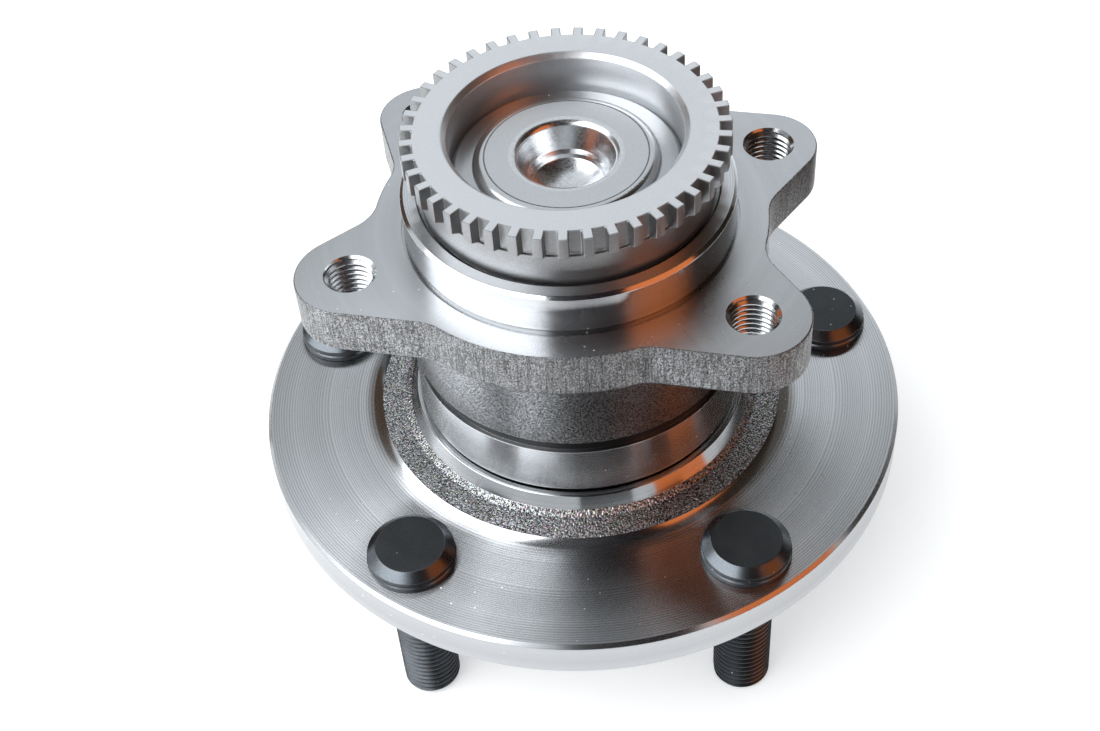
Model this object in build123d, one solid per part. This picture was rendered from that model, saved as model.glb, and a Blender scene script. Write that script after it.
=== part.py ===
from build123d import *
import math
import os

# A bolt-on wheel hub bearing, in millimetres. It stands on its five wheel studs.
# The origin is on the axis, in the face of the flange that the wheel is clamped to.
# +Z runs along the axis, from the wheel towards the car. The knuckle flange is symmetric about the YZ plane.

# Wheel flange of the hub
flange_margin = 11.55
flange_thickness = 9.0
flange_wheel_chamfer = 1.0
flange_top_chamfer = 0.75

# Raised, as-forged middle of the flange, seen around the outer ring
cove_foot_width = 0.8
cove_round = 2.4
forged_width = 4.9
forged_rise = 1.2
forged_slope_width = 1.4
forged_slope_rise = 1.6
seal_land_margin = 2.55
seal_land_rise = 2.4
lip_track_margin = 0.26

# Raised guard on the hub that closes the slot under the outer ring's collar
guard_gap = 0.5
guard_slope_width = 1.5
guard_width = 1.5

# Pilots and hollow on the wheel side of the hub
disc_pilot_radius = 32.0
disc_pilot_height = 7.0
wheel_pilot_step = 2.0
wheel_pilot_height = 7.0
pilot_chamfer = 1.2
pilot_wall = 4.5
hollow_end_radius = 9.0
hollow_depth = 34.0
hollow_round = 7.0

# Wheel studs
stud_count = 5
stud_circle_radius = 57.15
stud_turn = 28.15
stud_radius = 6.0
stud_reach = 32.5
stud_end_taper = 1.1
stud_end_length = 1.2
stud_knurl_height = 0.42
stud_knurl_lead = 0.6
stud_head_radius = 9.1
stud_head_edge = 2.3
stud_head_height = 4.2
stud_head_taper = 2.0
stud_hole_chamfer = 0.5

# Outer ring, from the collar on the wheel side to the spigot on the car side
collar_gap = 3.1
collar_wall = 4.85
collar_length = 11.8
collar_chamfer = 0.5
relief_depth = 1.05
relief_length = 2.6
cone_flare = 3.85
cone_length = 19.7
rim_ledge = 1.2
spigot_wall = 3.5
spigot_height = 9.1
spigot_chamfer = 0.7
mouth_chamfer = 0.4

# Relief at the foot of the spigot and of the disc pilot, cut into the wall and into the face beside it
undercut_depth = 0.4
undercut_height = 0.8
undercut_width = 0.6

# Knuckle flange: two ears at each end of the outer ring's rim, each with a tapped bolt hole
knuckle_thickness = 10.2
knuckle_foot_round = 0.9
lower_hole_x = 39.1
lower_hole_y = -22.7
lower_ear_radius = 11.0
upper_hole_x = 36.3
upper_hole_y = 26.9
upper_ear_radius = 9.9
waist_half_width = 38.2
waist_lower_y = -5.0
waist_upper_y = 8.6
waist_blend = 9.0
bolt_hole_radius = 4.35
bolt_hole_chamfer = 0.9

# Ball rows
ball_diameter = 9.525
balls_per_row = 14
pitch_radius = 24.7
contact_angle = 35.0
ball_clearance = 0.1
groove_share = 0.52
outboard_row_turn = 0.0
inboard_row_turn = 12.86
outer_shoulder_height = 2.3
outer_lip_height = 0.3
inner_shoulder_height = 2.82
inner_lip_height = 0.45

# Inner ring and the spindle seat that it is pressed on
seat_radius = 15.0
inner_ring_inset = 7.0
inner_ring_bore_chamfer = 1.5
inner_ring_edge_chamfer = 1.0
seat_relief = 0.4

# Formed head: the end of the spindle, rolled over the inner ring
head_lap = 1.8
head_draft = 0.4
head_height = 1.9
head_shoulder_round = 2.1
head_wall = 5.8
head_lip_round = 1.0
head_hole_depth = 6.4
head_hole_draft = 1.0
head_step_width = 1.1
head_step_depth = 1.0
head_cone_depth = 4.1

# Tone ring for the wheel speed sensor
tooth_count = 43
tooth_turn = 3.99
tooth_width = 1.95
tooth_depth = 2.4
tooth_root_step = 0.5
slot_floor_width = 0.6
slot_depth = 5.7
tooth_height = 4.65
tone_ring_height = 14.2
tone_ring_grip = 6.0
tone_ring_gap = 0.6
tone_ring_foot_gap = 0.7
tone_ring_foot_height = 0.4
tone_ring_bore_chamfer = 1.05

# Cages
cage_offset = 0.3
cage_wall = 2.6
cage_rib = 1.49
cage_front = 2.2
pocket_clearance = 0.15
outboard_cage_gap = 1.3
inboard_cage_gap = 0.5

# Seals
seal_seat_step = 0.22
outboard_seat_depth = 5.8
inboard_seat_depth = 8.0
sheet = 0.6
rubber = 0.5
case_recess = 0.8
case_lap = 1.3
lip_clearance = 0.06
lip_foot = 0.7
lip_width = 0.4
lip_lean = 1.5
slinger_length = 5.3
slinger_tip_gap = 0.4
slinger_standoff = 1.0
slinger_face_gap = 0.5

# Raceway grooves: the ball leans on each groove along the contact angle
groove_radius = groove_share * ball_diameter
groove_shift = groove_radius - ball_diameter / 2 - ball_clearance
groove_shift_out = groove_shift * math.cos(math.radians(contact_angle))
groove_shift_along = groove_shift * math.sin(math.radians(contact_angle))
inner_groove_radius = pitch_radius + groove_shift_out
outer_groove_radius = pitch_radius - groove_shift_out
inner_groove_bottom = inner_groove_radius - groove_radius
outer_groove_bottom = outer_groove_radius + groove_radius

# Radii, from the raceways outwards and inwards
land_radius = inner_groove_bottom + inner_shoulder_height
inner_lip_radius = inner_groove_bottom + inner_lip_height
outer_shoulder_radius = outer_groove_bottom - outer_shoulder_height
outer_lip_radius = outer_groove_bottom - outer_lip_height
seal_seat_radius = outer_lip_radius + seal_seat_step
spigot_radius = seal_seat_radius + spigot_wall
collar_radius = seal_seat_radius + collar_wall
relief_radius = collar_radius - relief_depth
cone_end_radius = collar_radius + cone_flare
rim_radius = cone_end_radius + rim_ledge
seal_land_radius = collar_radius + seal_land_margin
forged_inner_radius = seal_land_radius + forged_slope_width
forged_radius = forged_inner_radius + forged_width
guard_radius = seal_land_radius - guard_slope_width
guard_inner_radius = guard_radius - guard_width
spindle_root_round = seal_seat_radius - rubber - lip_track_margin - land_radius
head_foot_radius = seat_radius + inner_ring_bore_chamfer + head_lap
head_side_radius = head_foot_radius - head_draft
head_hole_radius = seat_radius - head_wall
head_hole_end_radius = head_hole_radius - head_hole_draft
head_step_radius = head_hole_end_radius - head_step_width
tone_ring_foot_radius = seal_seat_radius - tone_ring_foot_gap
tooth_root_radius = tone_ring_foot_radius + tooth_root_step
tooth_tip_radius = tooth_root_radius + tooth_depth
slot_floor_radius = tooth_root_radius + slot_floor_width
flange_radius = stud_circle_radius + flange_margin
wheel_pilot_radius = disc_pilot_radius - wheel_pilot_step
hollow_mouth_radius = wheel_pilot_radius - pilot_wall
stud_knurl_radius = stud_radius + stud_knurl_height

# Heights, from the wheel flange to the tone ring
flange_face = flange_thickness
seal_land = flange_face + seal_land_rise
collar_end = seal_land + collar_gap
guard_top = collar_end - guard_gap
collar_top = collar_end + collar_length
cone_start = collar_top + relief_length
cone_end = cone_start + cone_length
knuckle_face = cone_end + knuckle_thickness
mouth = knuckle_face + spigot_height
cage_back = ball_diameter / 2 + pocket_clearance + cage_rib
outboard_seat = collar_end + outboard_seat_depth
outboard_row = outboard_seat + outboard_cage_gap + cage_back
inboard_seat = mouth - inboard_seat_depth
inboard_row = inboard_seat - inboard_cage_gap - cage_back
inner_ring_foot = inboard_row - inner_ring_inset
slinger_foot = inboard_seat + slinger_standoff
slinger_end = slinger_foot + slinger_length
tone_ring_foot = slinger_end + tone_ring_gap
tone_ring_top = tone_ring_foot + tone_ring_height
inner_ring_end = tone_ring_foot + tone_ring_grip


# A ring or shaft turned from corners given as radius, height and, where it is rounded, the round
def turned(*corners):
    points = [(corner[0], 0, corner[1]) for corner in corners]
    rounds = [corner[2] if len(corner) > 2 else 0 for corner in corners]
    section = make_face(FilletPolyline(*points, radius=rounds, close=True))
    return revolve(section, Axis.Z)


# The ring-shaped cutter that grinds a raceway groove
def groove(radius, height):
    return Pos(0, 0, height) * Torus(radius, groove_radius)


# Corners on one side of an ear: its slanted side starts at the waist, touches the round about the bolt hole
# and meets the straight edge of the flange
def ear_corners(hole_x, hole_y, ear_radius, waist_y):
    across = hole_x - waist_half_width
    along = abs(hole_y - waist_y)
    lean = math.atan2(across, along) + math.asin(ear_radius / math.hypot(across, along))
    reach = ear_radius * (1 + math.sin(lean)) / math.cos(lean)
    tip = (hole_x + reach, hole_y + math.copysign(ear_radius, hole_y))
    return (waist_half_width, waist_y), tip


# The ears and the round rim between them, with the inward corners where they meet blended
def knuckle_outline():
    lower_root, lower_tip = ear_corners(lower_hole_x, lower_hole_y, lower_ear_radius, waist_lower_y)
    upper_root, upper_tip = ear_corners(upper_hole_x, upper_hole_y, upper_ear_radius, waist_upper_y)
    right_side = [lower_tip, lower_root, upper_root, upper_tip]
    left_side = [(-x, y) for x, y in reversed(right_side)]
    rounds = [lower_ear_radius, 0, 0, upper_ear_radius]
    rounds = rounds + list(reversed(rounds))
    ears = make_face(FilletPolyline(*right_side, *left_side, radius=rounds, close=True))
    plate = ears + Circle(rim_radius)
    grown = offset(plate.face(), waist_blend, kind=Kind.ARC)
    return offset(grown.face(), -waist_blend, kind=Kind.ARC)


# A tapped hole through an ear, with a chamfer at both faces
def bolt_hole(x, y):
    chamfer_radius = bolt_hole_radius + bolt_hole_chamfer
    cutter = turned(
        (0, cone_end),
        (chamfer_radius, cone_end),
        (bolt_hole_radius, cone_end + bolt_hole_chamfer),
        (bolt_hole_radius, knuckle_face - bolt_hole_chamfer),
        (chamfer_radius, knuckle_face),
        (0, knuckle_face),
    )
    return Pos(x, y, 0) * cutter


# The knuckle flange, rounded all along its lower edge, with room for the spigot's undercut
def make_knuckle_flange():
    flange = extrude(knuckle_outline(), knuckle_thickness)
    foot_edges = flange.edges().group_by(Axis.Z)[0]
    flange = fillet(foot_edges, knuckle_foot_round)
    return Pos(0, 0, cone_end) * flange - Cylinder(spigot_radius + undercut_width, 2 * mouth)


def make_outer_ring():
    undercut_radius = spigot_radius - undercut_depth
    inboard_groove = inboard_row + groove_shift_along
    outboard_groove = outboard_row - groove_shift_along
    body = turned(
        (collar_radius - collar_chamfer, collar_end),
        (collar_radius, collar_end + collar_chamfer),
        (collar_radius, collar_top),
        (relief_radius, collar_top),
        (relief_radius, cone_start),
        (collar_radius, cone_start),
        (cone_end_radius, cone_end),
        (cone_end_radius, knuckle_face),
        (spigot_radius + undercut_width, knuckle_face),
        (spigot_radius + undercut_width, knuckle_face - undercut_depth),
        (undercut_radius, knuckle_face - undercut_depth),
        (undercut_radius, knuckle_face + undercut_height),
        (spigot_radius, knuckle_face + undercut_height),
        (spigot_radius, mouth - spigot_chamfer),
        (spigot_radius - spigot_chamfer, mouth),
        (seal_seat_radius + mouth_chamfer, mouth),
        (seal_seat_radius, mouth - mouth_chamfer),
        (seal_seat_radius, inboard_seat),
        (outer_lip_radius, inboard_seat),
        (outer_lip_radius, inboard_groove),
        (outer_shoulder_radius, inboard_groove),
        (outer_shoulder_radius, outboard_groove),
        (outer_lip_radius, outboard_groove),
        (outer_lip_radius, outboard_seat),
        (seal_seat_radius, outboard_seat),
        (seal_seat_radius, collar_end + mouth_chamfer),
        (seal_seat_radius + mouth_chamfer, collar_end),
    )
    ring = body + make_knuckle_flange()
    ring -= groove(outer_groove_radius, inboard_groove)
    ring -= groove(outer_groove_radius, outboard_groove)
    for side in (-1, 1):
        ring -= bolt_hole(side * lower_hole_x, lower_hole_y)
        ring -= bolt_hole(side * upper_hole_x, upper_hole_y)
    return ring


# A stud hole with the chamfer that the wheel side of it has
def stud_hole():
    return turned(
        (0, 0),
        (stud_knurl_radius + stud_hole_chamfer, 0),
        (stud_knurl_radius, stud_hole_chamfer),
        (stud_knurl_radius, flange_face),
        (0, flange_face),
    )


def stud_places():
    return PolarLocations(stud_circle_radius, stud_count, start_angle=stud_turn)


def make_hub():
    pilot_step = -disc_pilot_height
    pilot_end = pilot_step - wheel_pilot_height
    hollow_top = pilot_end + hollow_depth
    head_top = inner_ring_end + head_height
    hole_end = head_top - head_hole_depth
    step_end = hole_end - head_step_depth
    outboard_groove = outboard_row + groove_shift_along
    hub = turned(
        (0, hollow_top),
        (hollow_end_radius, hollow_top, hollow_round),
        (hollow_mouth_radius, pilot_end),
        (wheel_pilot_radius - pilot_chamfer, pilot_end),
        (wheel_pilot_radius, pilot_end + pilot_chamfer),
        (wheel_pilot_radius, pilot_step),
        (disc_pilot_radius - pilot_chamfer, pilot_step),
        (disc_pilot_radius, pilot_step + pilot_chamfer),
        (disc_pilot_radius, -undercut_height),
        (disc_pilot_radius - undercut_depth, -undercut_height),
        (disc_pilot_radius - undercut_depth, undercut_depth),
        (disc_pilot_radius + undercut_width, undercut_depth),
        (disc_pilot_radius + undercut_width, 0),
        (flange_radius - flange_wheel_chamfer, 0),
        (flange_radius, flange_wheel_chamfer),
        (flange_radius, flange_face - flange_top_chamfer),
        (flange_radius - flange_top_chamfer, flange_face),
        (forged_radius + cove_foot_width, flange_face, cove_round),
        (forged_radius, flange_face + forged_rise),
        (forged_inner_radius, flange_face + forged_slope_rise),
        (seal_land_radius, seal_land),
        (guard_radius, guard_top),
        (guard_inner_radius, guard_top),
        (guard_inner_radius, seal_land),
        (land_radius, seal_land, spindle_root_round),
        (land_radius, outboard_groove),
        (inner_lip_radius, outboard_groove),
        (inner_lip_radius, inner_ring_foot),
        (seat_radius, inner_ring_foot),
        (seat_radius, inner_ring_end - inner_ring_bore_chamfer),
        (seat_radius + inner_ring_bore_chamfer, inner_ring_end),
        (head_foot_radius, inner_ring_end),
        (head_side_radius, head_top, head_shoulder_round),
        (head_hole_radius, head_top, head_lip_round),
        (head_hole_end_radius, hole_end),
        (head_step_radius, step_end),
        (0, step_end - head_cone_depth),
    )
    hub -= groove(inner_groove_radius, outboard_groove)
    return hub - stud_places() * stud_hole()


def make_inner_ring():
    inboard_groove = inboard_row - groove_shift_along
    ring = turned(
        (seat_radius + seat_relief, inner_ring_foot),
        (inner_lip_radius, inner_ring_foot),
        (inner_lip_radius, inboard_groove),
        (land_radius, inboard_groove),
        (land_radius, inner_ring_end - inner_ring_edge_chamfer),
        (land_radius - inner_ring_edge_chamfer, inner_ring_end),
        (seat_radius + inner_ring_bore_chamfer, inner_ring_end),
        (seat_radius, inner_ring_end - inner_ring_bore_chamfer),
        (seat_radius, inner_ring_foot + seat_relief),
    )
    return ring - groove(inner_groove_radius, inboard_groove)


def make_tone_ring():
    tooth_foot = tone_ring_top - tooth_height
    slot_floor = tone_ring_top - slot_depth
    ring = turned(
        (land_radius, tone_ring_foot),
        (tone_ring_foot_radius, tone_ring_foot),
        (tone_ring_foot_radius, tone_ring_foot + tone_ring_foot_height),
        (slot_floor_radius, slot_floor),
        (tooth_tip_radius, tooth_foot),
        (tooth_tip_radius, tone_ring_top),
        (land_radius + tone_ring_bore_chamfer, tone_ring_top),
        (land_radius, tone_ring_top - tone_ring_bore_chamfer),
    )
    # The slots are what the teeth leave of a band around the rim. Each tooth block reaches past the band
    band_radius = tooth_tip_radius + tooth_width
    band = turned(
        (tooth_root_radius, slot_floor),
        (band_radius, slot_floor),
        (band_radius, tone_ring_top),
        (tooth_root_radius, tone_ring_top),
    )
    tooth = Box(2 * (band_radius - tooth_root_radius), tooth_width, 2 * slot_depth)
    middle = (tooth_root_radius + band_radius) / 2
    teeth = Pos(0, 0, slot_floor) * PolarLocations(middle, tooth_count, start_angle=tooth_turn) * tooth
    return ring - (band - teeth)


def make_studs():
    stud = turned(
        (0, -stud_reach),
        (stud_radius - stud_end_taper, -stud_reach),
        (stud_radius, stud_end_length - stud_reach),
        (stud_radius, 0),
        (stud_knurl_radius, stud_knurl_lead),
        (stud_knurl_radius, flange_face),
        (stud_head_radius, flange_face),
        (stud_head_radius, flange_face + stud_head_edge),
        (stud_head_radius - stud_head_taper, flange_face + stud_head_height),
        (0, flange_face + stud_head_height),
    )
    return [place * stud for place in stud_places()]


def ball_places(row, turn):
    return Pos(0, 0, row) * PolarLocations(pitch_radius, balls_per_row, start_angle=turn)


def make_balls(row, turn):
    return [place * Sphere(ball_diameter / 2) for place in ball_places(row, turn)]


# A one-piece ball cage, its closed side facing the seal (+1 upwards, -1 downwards)
def make_cage(row, turn, side):
    middle = pitch_radius + cage_offset
    back = row + side * cage_back
    front = row - side * cage_front
    ring = turned(
        (middle - cage_wall / 2, back),
        (middle + cage_wall / 2, back),
        (middle + cage_wall / 2, front),
        (middle - cage_wall / 2, front),
    )
    return ring - ball_places(row, turn) * Sphere(ball_diameter / 2 + pocket_clearance)


# A seal's steel case, pressed in the outer ring against its step, reaching out of the bearing by side
def make_seal_case(seat, reach, side, sleeve_radius):
    inner = sleeve_radius + lip_clearance + lip_foot + case_lap - rubber
    return turned(
        (seal_seat_radius, seat),
        (seal_seat_radius, seat + side * reach),
        (seal_seat_radius - sheet, seat + side * reach),
        (seal_seat_radius - sheet, seat + side * sheet),
        (inner, seat + side * sheet),
        (inner, seat),
    )


# Rubber lips on a seal case: one runs on a sleeve around the axis, the other on a face at lip_end
def make_seal_lips(seat, side, sleeve_radius, lip_end, lip_end_radius):
    bond = seat + side * sheet
    skin = bond + side * rubber
    running = sleeve_radius + lip_clearance
    case_bore = seal_seat_radius - sheet
    lip_root_radius = (sleeve_radius + case_bore) / 2
    return turned(
        (case_bore, bond),
        (case_bore, skin),
        (lip_root_radius + rubber, skin),
        (lip_end_radius, lip_end),
        (lip_end_radius - rubber, lip_end),
        (lip_root_radius, skin),
        (running + lip_foot + rubber, skin),
        (running + lip_width, skin + side * lip_lean),
        (running, skin + side * lip_lean),
        (running + lip_foot, bond),
    )


def make_slinger():
    outer = seal_seat_radius - slinger_tip_gap
    return turned(
        (land_radius, slinger_foot),
        (land_radius + sheet, slinger_foot),
        (land_radius + sheet, slinger_end - sheet),
        (outer, slinger_end - sheet),
        (outer, slinger_end),
        (land_radius, slinger_end),
    )


def make_outboard_seal():
    case = make_seal_case(outboard_seat, outboard_seat_depth - case_recess, -1, land_radius)
    lip_end = seal_land + lip_clearance
    lips = make_seal_lips(outboard_seat, -1, land_radius, lip_end, seal_seat_radius)
    return case, lips


def make_inboard_seal():
    sleeve = land_radius + sheet
    slinger_face = slinger_end - sheet
    case = make_seal_case(inboard_seat, slinger_face - slinger_face_gap - inboard_seat, 1, sleeve)
    lip_end = slinger_face - lip_clearance
    lips = make_seal_lips(inboard_seat, 1, sleeve, lip_end, seal_seat_radius - 2 * sheet)
    return case, lips


def write(node, shape):
    shape.label = node
    export_step(shape, f"parts/{node}.step")
    print(node, round(shape.volume), "mm3")


os.makedirs("parts", exist_ok=True)

write("outer_ring", make_outer_ring())
write("hub", make_hub())
write("inner_ring", make_inner_ring())
write("tone_ring", make_tone_ring())
for number, stud in enumerate(make_studs(), 1):
    write(f"wheel_stud_{number}", stud)
for number, ball in enumerate(make_balls(outboard_row, outboard_row_turn), 1):
    write(f"outboard_ball_{number:02d}", ball)
for number, ball in enumerate(make_balls(inboard_row, inboard_row_turn), 1):
    write(f"inboard_ball_{number:02d}", ball)
write("outboard_cage", make_cage(outboard_row, outboard_row_turn, -1))
write("inboard_cage", make_cage(inboard_row, inboard_row_turn, 1))

outboard_case, outboard_lips = make_outboard_seal()
write("outboard_seal_case", outboard_case)
write("outboard_seal_lips", outboard_lips)
inboard_case, inboard_lips = make_inboard_seal()
write("inboard_seal_case", inboard_case)
write("inboard_seal_lips", inboard_lips)
write("inboard_seal_slinger", make_slinger())
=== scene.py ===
import math

import bmesh
import bpy
from mathutils import Matrix, Vector, geometry


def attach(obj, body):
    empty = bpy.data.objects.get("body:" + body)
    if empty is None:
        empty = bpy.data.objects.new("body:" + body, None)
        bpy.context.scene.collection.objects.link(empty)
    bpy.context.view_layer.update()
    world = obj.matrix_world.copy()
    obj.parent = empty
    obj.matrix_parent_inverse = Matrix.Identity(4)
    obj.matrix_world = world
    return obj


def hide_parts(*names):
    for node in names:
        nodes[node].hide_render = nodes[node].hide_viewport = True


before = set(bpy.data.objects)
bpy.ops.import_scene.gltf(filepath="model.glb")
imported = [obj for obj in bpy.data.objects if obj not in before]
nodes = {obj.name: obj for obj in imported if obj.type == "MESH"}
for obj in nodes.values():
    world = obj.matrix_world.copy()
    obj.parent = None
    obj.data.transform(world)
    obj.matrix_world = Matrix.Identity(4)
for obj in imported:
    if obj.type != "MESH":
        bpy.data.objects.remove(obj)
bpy.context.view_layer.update()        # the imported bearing; its nodes, bodies and joints stay as they are
scene = bpy.context.scene
mm = 0.001
up = Vector((0, 0, 1))
print("frame loaded:", len(nodes), "nodes")


# Camera and studio

camera = {
    "eye": (58.14, -247.87, 285.2), "target": (-6.153, -1.443, 15.65), "roll": -4.5,
    "lens": 56.01, "sensor": 36, "clip": (0.01, 50),
}
studio = {
    "cameraAzimuth": 13.2,
    "aimHeight": 30,
    "floorHeight": -32.5,
    "floorSize": 8.0,
    "floorShade": (0.78, 0.78, 0.78, 1),
    "floorGlow": 0.42,
    "worldColour": (0.93, 0.97, 1, 1),
    "worldDiffuse": 0.55,
    "worldSeen": 0.85,
    "lampDistance": 900,
    "cardDistance": 330,
}
# Azimuth is counted from the camera to its right, elevation from the horizon, sizes and distances in mm
softLights = {
    "windowLight": {
        "azimuth": -66, "elevation": 47, "size": (1200, 1050), "radiance": 3.2, "colour": (0.95, 0.97, 1.0),
    },
    "topLight": {"azimuth": 170, "elevation": 62, "size": (800, 500), "radiance": 0.8, "colour": (0.95, 0.98, 1.0)},
}
# Cards that only show as reflections in the steel: some stand around it, some lie on the floor
cards = {
    "darkCardFront": {"azimuth": 10.5, "elevation": 54, "size": (247, 760), "colour": (0.01, 0.01, 0.012)},
    "warmCard": {"azimuth": 54.5, "elevation": 37, "size": (234, 620), "colour": (1.0, 0.27, 0.08)},
    "brownCardRight": {"azimuth": 98, "elevation": 46, "size": (294, 740), "colour": (0.018, 0.012, 0.007)},
    "brownCardBackRight": {"azimuth": 126, "elevation": 40, "size": (130, 430), "colour": (0.1, 0.088, 0.075)},
    "brownCardLeft": {"azimuth": -132, "elevation": 16, "size": (210, 330), "colour": (0.08, 0.05, 0.032)},
    "greyCardBehind": {"azimuth": 179, "elevation": 46, "size": (420, 560), "colour": (0.83, 0.88, 0.92)},
    "darkFloorFront": {"azimuth": 8, "distance": 225, "size": (150, 190), "colour": (0.045, 0.042, 0.045)},
    "warmFloor": {"azimuth": 50, "distance": 225, "size": (150, 190), "colour": (0.16, 0.048, 0.02)},
    "brownFloorRight": {"azimuth": 95, "distance": 225, "size": (200, 190), "colour": (0.06, 0.043, 0.032)},
}


def setCamera():
    eye = Vector(camera["eye"]) * mm
    ahead = (Vector(camera["target"]) * mm - eye).normalized()
    right = ahead.cross(up).normalized()
    basis = Matrix((right, right.cross(ahead), -ahead)).transposed()
    basis = basis @ Matrix.Rotation(math.radians(camera["roll"]), 3, "Z")
    lens = bpy.data.cameras.new("photoCamera")
    lens.lens = camera["lens"]
    lens.sensor_width = camera["sensor"]
    lens.clip_start, lens.clip_end = camera["clip"]
    holder = bpy.data.objects.new("photoCamera", lens)
    holder.matrix_world = Matrix.Translation(eye) @ basis.to_4x4()
    scene.collection.objects.link(holder)
    scene.camera = holder


def studioPlace(azimuth, elevation, distance):
    turn = math.radians(studio["cameraAzimuth"] + azimuth)
    lift = math.radians(elevation)
    away = Vector((math.sin(turn) * math.cos(lift), -math.cos(turn) * math.cos(lift), math.sin(lift)))
    middle = up * studio["aimHeight"] * mm
    return Matrix.Translation(middle + away * distance * mm) @ away.to_track_quat("Z", "Y").to_matrix().to_4x4()


def addNode(tree, kind, inputs=None, **settings):
    node = tree.nodes.new(kind)
    for name, value in settings.items():
        setattr(node, name, value)
    for name, value in (inputs or {}).items():
        if isinstance(value, bpy.types.NodeSocket):
            tree.links.new(value, node.inputs[name])
        else:
            node.inputs[name].default_value = value
    return node


def calc(tree, operation, first, second=0.0, third=0.0, clamp=False):
    return addNode(tree, "ShaderNodeMath", {0: first, 1: second, 2: third},
                   operation=operation, use_clamp=clamp).outputs[0]


def mixColour(tree, factor, first, second):
    return addNode(tree, "ShaderNodeMix", {0: factor, 6: first, 7: second}, data_type="RGBA").outputs[2]


def mixValue(tree, factor, first, second):
    return addNode(tree, "ShaderNodeMix", {0: factor, 2: first, 3: second}, data_type="FLOAT").outputs[0]


def bareMaterial(name):
    material = bpy.data.materials.new(name)
    material.use_nodes = True
    material.node_tree.nodes.clear()
    return material, material.node_tree


# 1 for what the camera, a reflection or a pane sees, 0 for the light that matt surfaces gather
def directlySeen(tree):
    path = addNode(tree, "ShaderNodeLightPath")
    seen = calc(tree, "MAXIMUM", path.outputs["Is Camera Ray"], path.outputs["Is Glossy Ray"])
    return calc(tree, "MAXIMUM", seen, path.outputs["Is Transmission Ray"])


def gridMesh(name, material, matrix):
    bm = bmesh.new()
    bmesh.ops.create_grid(bm, x_segments=1, y_segments=1, size=0.5)
    bmesh.ops.transform(bm, matrix=matrix, verts=bm.verts)
    mesh = bpy.data.meshes.new(name)
    bm.to_mesh(mesh)
    bm.free()
    mesh.materials.append(material)
    sheet = bpy.data.objects.new(name, mesh)
    scene.collection.objects.link(sheet)
    return sheet


# White where it is seen, so that only its shadow shows, and clear from below
def setFloor():
    material, tree = bareMaterial("paleFloor")
    lift = calc(tree, "MULTIPLY", directlySeen(tree), studio["floorGlow"])
    matt = addNode(tree, "ShaderNodeBsdfDiffuse", {"Color": studio["floorShade"]})
    glow = addNode(tree, "ShaderNodeEmission", {"Color": (1, 1, 1, 1), "Strength": lift})
    both = addNode(tree, "ShaderNodeAddShader", {0: matt.outputs[0], 1: glow.outputs[0]})
    clear = addNode(tree, "ShaderNodeBsdfTransparent")
    behind = addNode(tree, "ShaderNodeNewGeometry").outputs["Backfacing"]
    shown = addNode(tree, "ShaderNodeMixShader", {0: behind, 1: both.outputs[0], 2: clear.outputs[0]})
    addNode(tree, "ShaderNodeOutputMaterial", {"Surface": shown.outputs[0]})
    size = Matrix.Diagonal((studio["floorSize"], studio["floorSize"], 1, 1))
    floor = gridMesh("floor", material, Matrix.Translation(up * studio["floorHeight"] * mm) @ size)


def setWorld():
    world = bpy.data.worlds.new("softStudio")
    world.use_nodes = True
    tree = world.node_tree
    tree.nodes.clear()
    strength = mixValue(tree, directlySeen(tree), studio["worldDiffuse"], studio["worldSeen"])
    light = addNode(tree, "ShaderNodeBackground", {"Color": studio["worldColour"], "Strength": strength})
    addNode(tree, "ShaderNodeOutputWorld", {"Surface": light.outputs[0]})
    scene.world = world


def setLights():
    for name, facts in softLights.items():
        wide, high = (side * mm for side in facts["size"])
        lamp = bpy.data.lights.new(name, "AREA")
        lamp.shape = "RECTANGLE"
        lamp.size = wide
        lamp.size_y = high
        lamp.energy = facts["radiance"] * math.pi * wide * high
        lamp.color = facts["colour"]
        holder = bpy.data.objects.new(name, lamp)
        holder.matrix_world = studioPlace(facts["azimuth"], facts["elevation"], studio["lampDistance"])
        scene.collection.objects.link(holder)


def cardPlace(facts):
    if "distance" in facts:
        turn = math.radians(studio["cameraAzimuth"] + facts["azimuth"])
        away = Vector((math.sin(turn), -math.cos(turn), 0)) * facts["distance"]
        return Matrix.Translation((away + up * (studio["floorHeight"] + 1)) * mm) @ Matrix.Rotation(turn, 4, "Z")
    return studioPlace(facts["azimuth"], facts["elevation"], studio["cardDistance"])


def setCards():
    for name, facts in cards.items():
        material, tree = bareMaterial(name)
        glow = addNode(tree, "ShaderNodeEmission", {"Color": (*facts["colour"], 1), "Strength": 1.0})
        addNode(tree, "ShaderNodeOutputMaterial", {"Surface": glow.outputs[0]})
        wide, high = facts["size"]
        card = gridMesh(name, material, cardPlace(facts) @ Matrix.Diagonal((wide * mm, high * mm, 1, 1)))
        for kind in ("camera", "diffuse", "transmission", "volume_scatter", "shadow"):
            setattr(card, "visible_" + kind, False)


setCamera()
setFloor()
setWorld()
setLights()
setCards()
scene.view_settings.view_transform = "Standard"
print("camera and studio ready")


# Shared effects

def newGroup(name, inputs, outputs):
    group = bpy.data.node_groups.new(name, "ShaderNodeTree")
    for socketName, value in inputs.items():
        kind = "NodeSocketVector" if isinstance(value, tuple) else "NodeSocketFloat"
        socket = group.interface.new_socket(socketName, in_out="INPUT", socket_type=kind)
        socket.default_value = value
    for socketName in outputs:
        group.interface.new_socket(socketName, in_out="OUTPUT", socket_type="NodeSocketFloat")
    return group, addNode(group, "NodeGroupInput"), addNode(group, "NodeGroupOutput")


def place(tree, group, **inputs):
    return addNode(tree, "ShaderNodeGroup", inputs, node_tree=group).outputs


def objectSpot(tree):
    return addNode(tree, "ShaderNodeTexCoord").outputs["Object"]


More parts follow.
